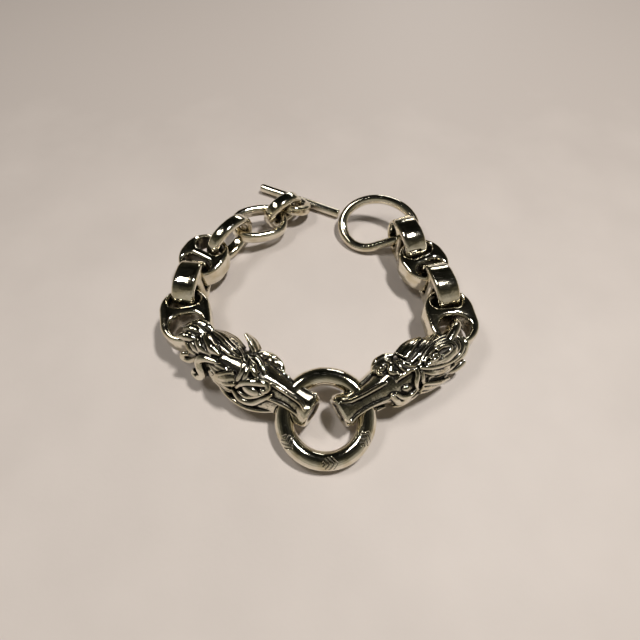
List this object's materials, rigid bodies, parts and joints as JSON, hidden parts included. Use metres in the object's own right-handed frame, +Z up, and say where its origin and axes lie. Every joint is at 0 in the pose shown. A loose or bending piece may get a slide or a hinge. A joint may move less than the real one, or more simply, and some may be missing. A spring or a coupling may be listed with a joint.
{
  "type": "link bracelet",
  "caption": "Heavy silver link bracelet laid open: two horse heads bite a round ring, chains of large and small links end in a toggle bar and a pear-shaped loop.",
  "frame": {"origin": "middle of the bounding box, on the table that the bracelet lies on", "axes": "+Z up from the table, +Y from the ring towards the clasp, +X to the viewer's right"},
  "size_m": [0.0822, 0.0918, 0.0142],
  "materials": {
    "silver": "polished silver, slightly worn, dark oxide in the corners",
    "cast_silver": "cast silver with polished ridges and black oxide in the recesses"
  },
  "bodies": {
    "root": {"ring": "silver", "head_left": "cast_silver", "head_right": "cast_silver", "link_left_1": "silver", "link_left_2": "silver", "link_left_3": "silver", "link_left_4": "silver", "link_left_5": "silver", "link_left_6": "silver", "link_right_1": "silver", "link_right_2": "silver", "link_right_3": "silver", "link_right_4": "silver", "toggle_bar": "silver", "toggle_loop": "silver"}
  },
  "joints": []
}
